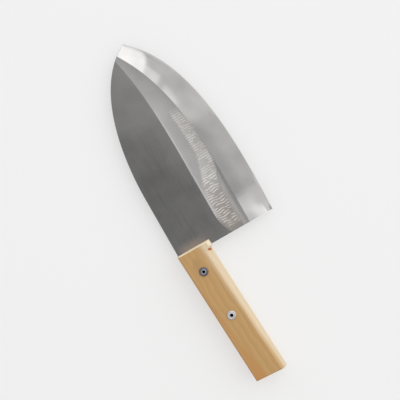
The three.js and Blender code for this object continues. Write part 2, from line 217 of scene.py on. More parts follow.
SPINE_STRAIGHT = 61.8 * MM
SPINE_LINE = Line(0, 36.2, -62.4, 47.9)
EDGE_LINE = Line(-2.2, 82, 48.6, 54.1)
HOLLOW_TOP_DEPTH = 45.9 * MM
HOLLOW_TOP_END = 9.4 * MM
HOLLOW_TOP_LINE = Line(1.8, 66, 13, 56)
HOLLOW_HEEL_RUN = 20 * MM
HOLLOW_HEEL_DROP = 5.6 * MM
HOLLOW_HEEL_SLOPE = 0.036
HOLLOW_TIP_SLOPE = 0.012
RUN_IN_SLOPE = 0.045
RUN_IN_START = (2 * MM, 26 * MM)
RUN_IN_FADE = (95 * MM, 130 * MM)
LIP_SLOPE = 0.015
LIP_FADE = (25 * MM, 80 * MM)
BEVEL_TOP_DEPTH = 69.2 * MM
BEVEL_TOP_END = 6.6 * MM
BEVEL_TOP_LINE = Line(0.7, 65, 33, 61)
HEEL_DISH_FADE = (0, 24 * MM)
HEEL_FACET_SPREAD = 0.14
MOST_FACET = 0.36
TIP_DISH_FADE = (85 * MM, 140 * MM)
CURVE_POINTS = 400


def lerp(a, b, share):
    return a + (b - a) * share


def ease(low, high, value):
    """0 under low and 1 over high, with a smooth change between."""
    share = min(max((value - low) / (high - low), 0), 1)
    return share * share * (3 - 2 * share)


def bowl(share):
    """0 at both ends and 1 in the middle."""
    return 4 * share * (1 - share)


def curve_height(start, end, line):
    """A function of x: the height of the curve from start to end, which goes straight on past both."""
    leave = Matrix.Rotation(math.radians(line.start_angle), 2) @ Vector((line.start_pull * MM, 0))
    arrive = Matrix.Rotation(math.radians(line.end_angle), 2) @ Vector((line.end_pull * MM, 0))
    points = interpolate_bezier(start, start + leave, end - arrive, end, CURVE_POINTS)
    places = [point.x for point in points]

    def height(x):
        after = min(max(bisect_right(places, x), 1), len(points) - 1)
        a, b = points[after - 1], points[after]
        return a.y + (x - a.x) * (b.y - a.y) / (b.x - a.x)

    return height


class BladeShape:
    """The blade's outline, its two ridges and its thickness."""

    def __init__(self, settings):
        self.settings = settings
        tip = Vector((settings.length, -settings.tip_drop))
        self.spine_curve = curve_height(Vector((SPINE_STRAIGHT, 0)), tip, SPINE_LINE)
        self.edge = curve_height(Vector((0, -settings.heel_height)), tip, EDGE_LINE)
        self.hollow_curve = self.ridge(HOLLOW_TOP_DEPTH, HOLLOW_TOP_END, HOLLOW_TOP_LINE)
        self.bevel_top = self.ridge(BEVEL_TOP_DEPTH, BEVEL_TOP_END, BEVEL_TOP_LINE)

    def spine(self, x):
        return 0 if x < SPINE_STRAIGHT else self.spine_curve(x)

    def ridge(self, depth, end_before_tip, line):
        end = self.settings.length - end_before_tip
        return curve_height(Vector((0, -depth)), Vector((end, self.spine(end))), line)

    def hollow_top(self, x):
        to_heel = max(1 - x / HOLLOW_HEEL_RUN, 0)
        return self.hollow_curve(x) - HOLLOW_HEEL_DROP * to_heel**2

    def facet_top(self, x):
        """Where the honed strip along the edge begins; it widens away from the heel."""
        widened = self.settings.heel_facet + HEEL_FACET_SPREAD * min(x, HEEL_DISH_FADE[1])
        return self.edge(x) + min(widened, MOST_FACET * (self.bevel_top(x) - self.edge(x)))

    def heel_grind(self, x, share, border):
        """How much is ground off the bevel at the heel: a dish down to the border of the honed strip."""
        s = self.settings
        dish = bowl(min(share / border, 1))
        crown = share / border if share < border else (1 - share) / (1 - border)
        return (s.heel_dish * dish - s.heel_crown * crown) * (1 - ease(*HEEL_DISH_FADE, x))

    def half_thickness(self, x, y):
        """A tapering flat, then the wheel's hollow from its run-in to its lip, then the dished bevel."""
        s = self.settings
        flat = lerp(s.spine_thickness, s.tip_thickness, x / s.length) / 2
        top, bottom, edge = self.hollow_top(x), self.bevel_top(x), self.edge(x)
        if y >= top:
            return flat
        width = top - bottom
        across = min(top - y, width)
        fall = lerp(HOLLOW_HEEL_SLOPE, HOLLOW_TIP_SLOPE, x / s.length) * across
        sag = across * (width - across) / (2 * s.wheel_radius)
        entered = min(across, s.run_in_width)
        run_in_slope = RUN_IN_SLOPE * ease(*RUN_IN_START, x) * (1 - ease(*RUN_IN_FADE, x))
        run_in = run_in_slope * (entered - entered**2 / (2 * s.run_in_width))
        lip_width = s.lip_width * (1 - ease(*LIP_FADE, x))
        lip = LIP_SLOPE * max(0, across - width + lip_width)
        hollow = flat - fall - sag - run_in + lip
        if y >= bottom:
            return hollow
        bevel = max(bottom - edge, MERGE)
        share = min((bottom - y) / bevel, 1)
        heel = self.heel_grind(x, share, 1 - (self.facet_top(x) - edge) / bevel)
        tip = s.tip_dish * ease(*TIP_DISH_FADE, x) * bowl(share)
        return lerp(hollow, s.edge_thickness / 2, share) - heel - tip


# Rows of the blade's skin, from the middle of the spine to the cutting edge, and its stations along it

MOST_ROUNDING = 0.125
MOST_HONE = 0.5
ROUNDING_ROWS = 4
FLAT_ROWS = 6
HOLLOW_ROWS = 30
BEVEL_ROWS = 10
FACET_ROWS = 4
MARKS_END = 122 * MM
CROWDED_FROM = 55 * MM
MARKED_STATIONS = 555
PLAIN_STATIONS = 80


def crowded_ends(step, steps):
    """Share of the way at a step, with the steps closer together at both ends."""
    return (1 - math.cos(math.pi * step / steps)) / 2


def blade_rows():
    """(zone, share of the way across it) for each row."""
    rows = [("middle", 0)]
    rows += [("spine", i / ROUNDING_ROWS) for i in range(ROUNDING_ROWS + 1)]
    rows += [("flat", i / FLAT_ROWS) for i in range(1, FLAT_ROWS + 1)]
    rows += [("hollow", crowded_ends(i, HOLLOW_ROWS)) for i in range(1, HOLLOW_ROWS + 1)]
    rows += [("bevel", i / BEVEL_ROWS) for i in range(1, BEVEL_ROWS + 1)]
    rows += [("facet", i / FACET_ROWS) for i in range(1, FACET_ROWS + 1)]
    rows += [("edge", 1)]
    return rows


def station_place(station, length):
    """x of a station: close together as far as the marks reach, and further apart past them."""
    if station <= MARKED_STATIONS:
        return MARKS_END * station / MARKED_STATIONS
    return lerp(MARKS_END, length, (station - MARKED_STATIONS) / PLAIN_STATIONS)


# Where the wheel's marks lie: along the blade in millimetres, and across the hollow in shares of its width.
# The first and last marked places have one share at the heel and another further on.
MARKS_BEGIN = (3, 7)
MARKS_DIE = (108, 121)
FIRST_MARKED = (0.05, 0.5)
FIRST_MARKED_SHIFT = (35, 80)
FIRST_MARKED_FADE = 0.12
LAST_MARKED = (0.76, 1.06)
LAST_MARKED_SHIFT = (40, 65)
LAST_MARKED_FADE = 0.1

# How the marks wander, in shares of their spacing: a slow drift and a ripple, both weaker further on
DRIFT = 0.35
DRIFT_LENGTH = 12
DRIFTS_ACROSS = 1.2
RIPPLE = 0.2
RIPPLE_LENGTH = 4
RIPPLES_ACROSS = 14
WANDER_LEFT = 0.2
WANDER_FADE = (45, 70)

# Where a mark is broken off, and where a cluster of marks is faint: levels of a noise, and its steps
BREAK_LEVELS = (-0.45, 0.05)
BREAK_STEP = 3.7
BREAKS_ACROSS = 4.5
BREAK_SEED = 1.3
FAINTEST = 0.6
CLUSTER_LEVELS = (-0.3, 0.3)
CLUSTER_LENGTH = 9
CLUSTERS_ACROSS = 2
CLUSTER_SEED = 7.1


def marked(x, share):
    """How much a place has of the wheel's marks, from 0 to 1."""
    mm = x / MM
    # A smooth strip is left under the upper ridge, and it widens toward the tip.
    first = lerp(*FIRST_MARKED, ease(*FIRST_MARKED_SHIFT, mm))
    last = lerp(*LAST_MARKED, ease(*LAST_MARKED_SHIFT, mm))
    begun = ease(first, first + FIRST_MARKED_FADE, share)
    ended = ease(last - LAST_MARKED_FADE, last, share)
    along = ease(*MARKS_BEGIN, mm) * (1 - ease(*MARKS_DIE, mm))
    return begun * (1 - ended) * along


def chatter(settings, x, share):
    """How deep the wheel's marks are, from 0 to 1: short wavy lines across the hollow, in uneven clusters."""
    mm = x / MM
    drift = DRIFT * noise.noise(Vector((mm / DRIFT_LENGTH, share * DRIFTS_ACROSS, 0)))
    ripple = RIPPLE * math.sin(share * RIPPLES_ACROSS + mm / RIPPLE_LENGTH)
    wander = lerp(1, WANDER_LEFT, ease(*WANDER_FADE, mm)) * (drift + ripple)
    # The real marks crowd to 1.3 mm toward the tip, too fine to show, so they are drawn a little apart.
    crowded = max(0, x - CROWDED_FROM) * (1 / settings.tip_mark_spacing - 1 / settings.mark_spacing)
    turn = x / settings.mark_spacing + crowded + wander
    line = math.floor(turn)
    aside = abs(turn - line - 0.5) * 2 * settings.mark_spacing / settings.mark_width
    groove = max(0, 1 - aside**2) ** 2
    breaks = noise.noise(Vector((line * BREAK_STEP, share * BREAKS_ACROSS, BREAK_SEED)))
    clusters = noise.noise(Vector((mm / CLUSTER_LENGTH, share * CLUSTERS_ACROSS, CLUSTER_SEED)))
    whole = ease(*BREAK_LEVELS, breaks)
    strong = lerp(FAINTEST, 1, ease(*CLUSTER_LEVELS, clusters))
    return groove * whole * strong * marked(x, share)


# Tints of the steel: attributes of the mesh that hold how much of each tint a place has. They paint a
# reflection of the handle on the flats and glints in the marks, and make the hollow darker at the heel.

HANDLE_REFLECTION, HEEL_DARK, MARK_GLINTS = "stain", "scour", "marks"
# Painted reflection of the handle on the flats: how strong it is, how far from the handle it reaches, and how
# it fades away from the spine.
HANDLE_REFLECTION_AMOUNT = 0.65
HANDLE_REFLECTION_WIDTH = 10 * MM
HANDLE_REFLECTION_FADE = (20 * MM, 34 * MM)
HEEL_DARK_MARKS_FADE = (20 * MM, 55 * MM)
# The hollow is also darker at the heel, as far across as the marks reach.
HEEL_DARK_FADE = (9 * MM, 24 * MM)
HEEL_DARK_ACROSS = (0.6, 0.85)
# How bright the painted glints of the marks are, and how much of them the steel between the marks has, at the
# heel and further on
MARK_PEAK = (0.6, 0.9)
MARK_PEAK_RISE = (12 * MM, 45 * MM)
MARK_GROUND = (0.1, 0.35)
MARK_GROUND_RISE = (35 * MM, 65 * MM)


def handle_reflection_share(settings, x, y):
    """How much painted reflection of the wooden handle a place on the flats has: most by the handle, under
    the spine.
    """
    from_handle = ease(settings.root_depth, settings.root_depth + HANDLE_REFLECTION_WIDTH, x)
    return HANDLE_REFLECTION_AMOUNT * (1 - from_handle) * (1 - ease(*HANDLE_REFLECTION_FADE, -y))


def heel_darkening(x, share):
    """How much darker a place in the hollow is: between the marks, and at the heel."""
    between_marks = marked(x, share) * (1 - ease(*HEEL_DARK_MARKS_FADE, x))
    at_heel = (1 - ease(*HEEL_DARK_FADE, x)) * (1 - ease(*HEEL_DARK_ACROSS, share))
    return max(between_marks, at_heel)


def mark_glint_share(settings, x, share):
    """How much painted glint a place in the hollow has, in the marks and faintly between them."""
    ground = lerp(*MARK_GROUND, ease(*MARK_GROUND_RISE, x)) * marked(x, share)
    peak = lerp(*MARK_PEAK, ease(*MARK_PEAK_RISE, x))
    return lerp(ground, peak, chatter(settings, x, share))


def blade_point(shape, x, zone, share):
    """Where a row crosses a station, in the blade's frame."""
    s = shape.settings
    spine, edge = shape.spine(x), shape.edge(x)
    rounding = min(s.spine_rounding, MOST_ROUNDING * (spine - edge))
    shoulder = spine - rounding
    top = min(shape.hollow_top(x), shoulder)
    bottom = min(shape.bevel_top(x), top)
    facet = min(shape.facet_top(x), bottom)
    hone = min(edge + s.hone_width, lerp(facet, edge, MOST_HONE))
    if zone == "middle":
        return Vector((x, spine, 0))
    if zone == "spine":
        half = shape.half_thickness(x, shoulder)
        lift = min(rounding, half)
        turn = share * math.pi / 2
        return Vector((x, shoulder + rounding * math.cos(turn), half - lift + lift * math.sin(turn)))
    if zone == "edge":
        return Vector((x, edge, 0))
    start, end = {
        "flat": (shoulder, top),
        "hollow": (top, bottom),
        "bevel": (bottom, facet),
        "facet": (facet, hone),
    }[zone]
    y = lerp(start, end, share)
    z = shape.half_thickness(x, y)
    if zone == "hollow":
        z -= s.mark_depth * chatter(s, x, share)
    return Vector((x, y, z))


# Meshes

ROUND_STEPS = 64
SHARP_ANGLE = math.radians(40)
TURNED_CORNER = math.radians(35)
HANDLE_CORNER = math.radians(20)
FLAT_JOIN = math.radians(0.3)
RIDGE_ANGLE = math.radians(1.6)
SMOOTH_ANGLE = math.radians(30)


def finish_piece(name, bm, replaced, materials):
    """Makes the object at the origin, riding on the knife and standing for a solid."""
    mesh = bpy.data.meshes.new(name)
    bm.to_mesh(mesh)
    bm.free()
    for material in materials:
        mesh.materials.append(material)
    piece = bpy.data.objects.new(name, mesh)
    bpy.context.scene.collection.objects.link(piece)
    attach(piece, "root")
    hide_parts(replaced)
    return piece


def shade(bm, sharp_angle):
    """Smooth faces, with an edge kept wherever they turn by more than the angle."""
    for face in bm.faces:
        face.smooth = True
    for edge in bm.edges:
        edge.smooth = edge.calc_face_angle(0) < sharp_angle


def round_corners(bm, least_angle, offset):
    """Rounds the edges that stand out by more than the angle."""
    corners = [edge for edge in bm.edges if edge.calc_face_angle_signed(0) > least_angle]
    bmesh.ops.bevel(
        bm,
        geom=corners,
        offset=offset,
        segments=3,
        profile=0.5,
        affect="EDGES",
        material=-1,
        clamp_overlap=True,
    )


def turned(profile, axis, rounding):
    """A body spun round a vertical axis from (radius, height) points, with its corners rounded."""
    bm = bmesh.new()
    verts = [bm.verts.new((axis.x + radius, axis.y, height)) for radius, height in profile]
    edges = [bm.edges.new(pair) for pair in zip(verts, verts[1:])]
    if profile[0][0] > 0:
        edges.append(bm.edges.new((verts[-1], verts[0])))
    bmesh.ops.spin(
        bm,
        geom=verts + edges,
        cent=(axis.x, axis.y, 0),
        axis=(0, 0, 1),
        angle=2 * math.pi,
        steps=ROUND_STEPS,
        use_merge=True,
    )
    bmesh.ops.remove_doubles(bm, verts=bm.verts, dist=MERGE)
    bmesh.ops.recalc_face_normals(bm, faces=bm.faces)
    round_corners(bm, TURNED_CORNER, rounding)
    shade(bm, SHARP_ANGLE)
    return bm


class Turning(NamedTuple):
    """Axis, height and widest radius of a turned solid."""

    axis: Vector
    bottom: float
    top: float
    radius: float


def turning(node):
    low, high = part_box(node)
    return Turning((low + high) / 2, low.z, high.z, (high.x - low.x) / 2)


# Materials


def add(tree, kind, sockets, **settings):
    """Adds a node with its settings; a socket takes a value, or a link from another node's output.

    A socket that shares its name with others is given by number: 1 to 4 are the ends of a map range's
    two ranges, and 6 and 7 are the two colours of a mix.
    """
    made = tree.nodes.new("ShaderNode" + kind)
    for name, value in settings.items():
        setattr(made, name, value)
    for name, value in sockets.items():
        if isinstance(value, bpy.types.NodeSocket):
            tree.links.new(value, made.inputs[name])
        else:
            made.inputs[name].default_value = value
    return made


def new_material(name):
    """A material with an empty node tree."""
    material = bpy.data.materials.new(name)
    material.use_nodes = True
    material.node_tree.nodes.clear()
    return material, material.node_tree


def per_mm(mm):
    """Texture scale at which one cell of a pattern is that many millimetres."""
    return 1 / (mm * MM)


def drawn_out(tree, place, cell, detail, roughness=0.5):
    """A noise with its cells drawn out to these sizes along x, y and z, in millimetres."""
    scale = [per_mm(mm) for mm in cell]
    stretched = add(tree, "Mapping", {"Vector": place, "Scale": scale}).outputs["Vector"]
    sockets = {"Vector": stretched, "Scale": 1, "Detail": detail, "Roughness": roughness}
    return add(tree, "TexNoise", sockets).outputs["Fac"]


def oval(tree, place, lies, edge, inside, outside):
    """A value that changes from inside an oval to outside it, across an edge given in shares of its size."""
    across = add(tree, "Mapping", {"Vector": place, **lies}, vector_type="TEXTURE").outputs["Vector"]
    apart = add(tree, "VectorMath", {0: across}, operation="LENGTH").outputs["Value"]
    inner, outer = edge
    ends = {"Value": apart, 1: inner, 2: outer, 3: inside, 4: outside}
    return add(tree, "MapRange", ends, interpolation_type="SMOOTHSTEP").outputs["Result"]


CLOUD_SIZE = 28
CLOUD_LEVELS = (0.3, 0.7)
GLOSS_SPREAD = (0.8, 1.25)
SCRATCH_DEPTH = 0.01 * MM


def ground_steel(name, colours, tints, roughness, scratch_size, droop):
    """Steel with darker clouds that paint a reflection of the room, fine scratches that run one way, and
    tints where the mesh has them.

    colours are those of the steel and its clouds; tints gives a colour for each attribute that holds
    a tint's share; scratch_size is how far a scratch reaches along and across the blade, in millimetres.
    Real scratches are far narrower, too fine to show, so they are drawn wider.
    """
    bright, dull = [list(colour) for colour in colours]
    material, tree = new_material(name)
    place = add(tree, "TexCoord", {}).outputs["Object"]
    turn = add(tree, "Mapping", {"Vector": place, "Rotation": (0, 0, droop)}).outputs["Vector"]
    along, across = scratch_size
    scratches = drawn_out(tree, turn, (along, across, across), detail=3, roughness=0.6)
    # Darker clouds of colour, a painted reflection of the room in the steel.
    clouds = add(tree, "TexNoise", {"Vector": turn, "Scale": per_mm(CLOUD_SIZE), "Detail": 2}).outputs["Fac"]
    low, high = CLOUD_LEVELS
    cloudless = add(tree, "MapRange", {"Value": clouds, 1: low, 2: high}).outputs["Result"]
    tone = add(tree, "Mix", {0: cloudless, 6: dull, 7: bright}, data_type="RGBA").outputs[2]
    for attribute, tint in tints.items():
        share = add(tree, "Attribute", {}, attribute_name=attribute).outputs["Fac"]
        tone = add(tree, "Mix", {0: share, 6: tone, 7: list(tint)}, data_type="RGBA").outputs[2]
    smooth, rough = [roughness * spread for spread in GLOSS_SPREAD]
    gloss = add(tree, "MapRange", {"Value": scratches, 3: smooth, 4: rough}).outputs["Result"]
    relief = {"Height": scratches, "Strength": 0.25, "Distance": SCRATCH_DEPTH}
    normal = add(tree, "Bump", relief).outputs["Normal"]
    finish = {"Base Color": tone, "Metallic": 1, "Roughness": gloss, "Normal": normal}
    surface = add(tree, "BsdfPrincipled", finish).outputs["BSDF"]
    add(tree, "OutputMaterial", {"Surface": surface})
    return material


# The pale sapwood lies under a slanted plane, so it takes in the chamfer and most of the far side; on the
# chamfer its paleness is also painted light from the edge side.
SAP_AND_LIT_SLANT = (-0.05, 1, 0.8)
SAP_AND_LIT_BORDER = (49.7 * MM, 41.2 * MM)
SAP_AND_LIT_WAVER = 4 * MM
# The warm tinge lies toward the butt and the spine, in broad streaks.
WARM_SLANT = (-0.1, 1, 0)
WARM_BORDER = (51 * MM, 54.5 * MM)
WARM_STREAK = (60, 14, 14)
WARM_LEVELS = (0.25, 0.55)
WARM_AMOUNTS = (0.3, 0.9)
# The heart of the tree lies outside the handle, so the rings cross it as slow curves.
HEART_PLACE = (0, 12 * MM, 34 * MM)
HEART_TURN = (0, math.radians(3), math.radians(4))
SWAY = 6 * MM
SWAY_LENGTH = 45
RING_SHADE = 0.4
# What a wave texture turns through over each unit of its scale
WAVE_RADIANS = 20
# Single fibres are too fine to show, so they are drawn in bundles.
FIBRE_BUNDLE = (26, 0.6, 0.6)
FIBRE_LEVELS = (0.35, 0.75)
FIBRE_SHADE = 0.4
FIBRE_DEPTH = 0.06 * MM
WOOD_GLOSS = (0.4, 0.6)
SPOT_EDGE = (0.6, 1.2)


class Spot(NamedTuple):
    """An oval tinted on the wood, used for a smudge and for a painted shade: its middle and half-sizes in
    millimetres, and its turn in degrees.
    """

    middle: tuple
    half_sizes: tuple
    turn: float
    colour: str
    amount: float


SPOTS = (
    # Painted shade on one small place, the step where the chamfer runs out at the collar, warm from light
    # thrown back by the wood.
    Spot((-34.8, 20.3, 17), (2.4, 1.3, 4), 57, "scorch_colour", 0.95),
    # Hands have darkened the wood before the front rivet.
    Spot((-41, 37.2, 20), (7.5, 4, 5), -15, "smudge_colour", 0.3),
)


def softwood(name, settings, painted_light):
    """Pale softwood: faint rings drawn out along the grip, and a dry satin sheen.

    The last argument is how far the wood is painted pale, as light on faces that look toward the lamps.
    """
    material, tree = new_material(name)
    place = add(tree, "TexCoord", {}).outputs["Object"]
    to_heart = {"Vector": place, "Location": HEART_PLACE, "Rotation": HEART_TURN}
    heart = add(tree, "Mapping", to_heart).outputs["Vector"]
    sways = {"Vector": heart, "Scale": per_mm(SWAY_LENGTH), "Detail": 2}
    sway = add(tree, "TexNoise", sways).outputs["Color"]
    bends = {0: sway, 1: (SWAY, SWAY, SWAY), 2: heart}
    bent = add(tree, "VectorMath", bends, operation="MULTIPLY_ADD").outputs["Vector"]
    ring_scale = 2 * math.pi / (WAVE_RADIANS * settings.ring_spacing)
    rings = add(
        tree,
        "TexWave",
        {"Vector": bent, "Scale": ring_scale, "Distortion": 0.8, "Detail": 2},
        wave_type="RINGS",
        rings_direction="X",
        wave_profile="SAW",
    ).outputs["Fac"]
    fibres = drawn_out(tree, bent, FIBRE_BUNDLE, detail=4, roughness=0.65)
    wavers = {0: sway, 1: (0, SAP_AND_LIT_WAVER, 0), 2: place}
    wavering = add(tree, "VectorMath", wavers, operation="MULTIPLY_ADD").outputs["Vector"]
    height = add(tree, "VectorMath", {0: wavering, 1: SAP_AND_LIT_SLANT}, operation="DOT_PRODUCT").outputs["Value"]
    over, under = SAP_AND_LIT_BORDER
    border = {"Value": height, 1: over, 2: under}
    sap_and_lit = add(tree, "MapRange", border, interpolation_type="SMOOTHSTEP").outputs["Result"]
    heart_tone, sap_and_lit_tone = list(settings.heart_colour), list(settings.sap_and_chamfer_light_colour)
    early = add(tree, "Mix", {0: sap_and_lit, 6: heart_tone, 7: sap_and_lit_tone}, data_type="RGBA").outputs[2]
    heart_line, sap_and_lit_line = list(settings.late_colour), list(settings.late_sap_and_chamfer_light_colour)
    late = add(tree, "Mix", {0: sap_and_lit, 6: heart_line, 7: sap_and_lit_line}, data_type="RGBA").outputs[2]
    # Rings, fibres, the warm streaks and the pale painted light on faces toward the lamps are laid over each
    # other in this order.
    ring = add(tree, "MapRange", {"Value": rings, 4: RING_SHADE}).outputs["Result"]
    ringed = add(tree, "Mix", {0: ring, 6: early, 7: late}, data_type="RGBA").outputs[2]
    low, high = FIBRE_LEVELS
    streak = add(tree, "MapRange", {"Value": fibres, 1: low, 2: high, 4: FIBRE_SHADE}).outputs["Result"]
    streaked = add(tree, "Mix", {0: streak, 6: ringed, 7: late}, data_type="RGBA").outputs[2]
    patches = drawn_out(tree, place, WARM_STREAK, detail=2)
    (low, high), (least, most) = WARM_LEVELS, WARM_AMOUNTS
    tinge = add(tree, "MapRange", {"Value": patches, 1: low, 2: high, 3: least, 4: most}).outputs["Result"]
    corner = add(tree, "VectorMath", {0: place, 1: WARM_SLANT}, operation="DOT_PRODUCT").outputs["Value"]
    low, high = WARM_BORDER
    near_corner = add(tree, "MapRange", {"Value": corner, 1: low, 2: high}).outputs["Result"]
    warm = add(tree, "Math", {0: tinge, 1: near_corner}, operation="MULTIPLY").outputs[0]
    warm_tone, lit_tone = list(settings.warm_colour), list(settings.lit_face_colour)
    warmed = add(tree, "Mix", {0: warm, 6: streaked, 7: warm_tone}, data_type="RGBA").outputs[2]
    tone = add(tree, "Mix", {0: painted_light, 6: warmed, 7: lit_tone}, data_type="RGBA").outputs[2]
    for spot in SPOTS:
        lies = {
            "Location": [mm * MM for mm in spot.middle],
            "Rotation": (0, 0, math.radians(spot.turn)),
            "Scale": [mm * MM for mm in spot.half_sizes],
        }
        share = oval(tree, place, lies, SPOT_EDGE, inside=spot.amount, outside=0)
        colour = list(getattr(settings, spot.colour))
        tone = add(tree, "Mix", {0: share, 6: tone, 7: colour}, data_type="RGBA").outputs[2]
    smooth, rough = WOOD_GLOSS
    gloss = add(tree, "MapRange", {"Value": fibres, 3: smooth, 4: rough}).outputs["Result"]
    relief = {"Height": fibres, "Strength": 0.3, "Distance": FIBRE_DEPTH}
    normal = add(tree, "Bump", relief).outputs["Normal"]
    finish = {"Base Color": tone, "Roughness": gloss, "Normal": normal}
    surface = add(tree, "BsdfPrincipled", finish).outputs["BSDF"]
    add(tree, "OutputMaterial", {"Surface": surface})
    return material


# How dark a dent is, how deep, and how far scuffs change the roughness
DENT_SHADE = 0.75
DENT_DEPTH = 0.03 * MM
SCUFFS = 0.08
BORE_SPECKS = 0.4
BORE_GLOSS = (0.7, 0.95)


def pressed_metal(name, colour, roughness, dent_size):
    """Metal from a press or a plating bath: even colour, with small scuffs and dents."""
    material, tree = new_material(name)
    place = add(tree, "TexCoord", {}).outputs["Object"]
    dents = add(tree, "TexNoise", {"Vector": place, "Scale": per_mm(dent_size), "Detail": 4}).outputs["Fac"]
    shaded = [channel * DENT_SHADE for channel in colour[:3]] + [1]
    tone = add(tree, "Mix", {0: dents, 6: shaded, 7: list(colour)}, data_type="RGBA").outputs[2]
    scuffed = {"Value": dents, 3: roughness - SCUFFS, 4: roughness + SCUFFS}
    gloss = add(tree, "MapRange", scuffed).outputs["Result"]
    relief = {"Height": dents, "Strength": 0.3, "Distance": DENT_DEPTH}
    normal = add(tree, "Bump", relief).outputs["Normal"]
    finish = {"Base Color": tone, "Metallic": 1, "Roughness": gloss, "Normal": normal}
    surface = add(tree, "BsdfPrincipled", finish).outputs["BSDF"]
    add(tree, "OutputMaterial", {"Surface": surface})
    return material


def bore_soot(colour):
    """Painted shade inside the deep bore of a pulled rivet: black and dull."""
    material, tree = new_material("bore_soot")
    place = add(tree, "TexCoord", {}).outputs["Object"]
    grains = {"Vector": place, "Scale": per_mm(BORE_SPECKS), "Detail": 2}
    specks = add(tree, "TexNoise", grains).outputs["Fac"]
    smooth, rough = BORE_GLOSS
    gloss = add(tree, "MapRange", {"Value": specks, 3: smooth, 4: rough}).outputs["Result"]
    finish = {"Base Color": list(colour), "Roughness": gloss}
    surface = add(tree, "BsdfPrincipled", finish).outputs["BSDF"]
    add(tree, "OutputMaterial", {"Surface": surface})
    return material


# Operators

TANG_OVERLAP = 0.05 * MM
# Which of the blade's materials each zone of its skin has
ZONE_SLOTS = {"middle": 0, "spine": 0, "flat": 0, "hollow": 1, "bevel": 2, "facet": 2, "edge": 2}


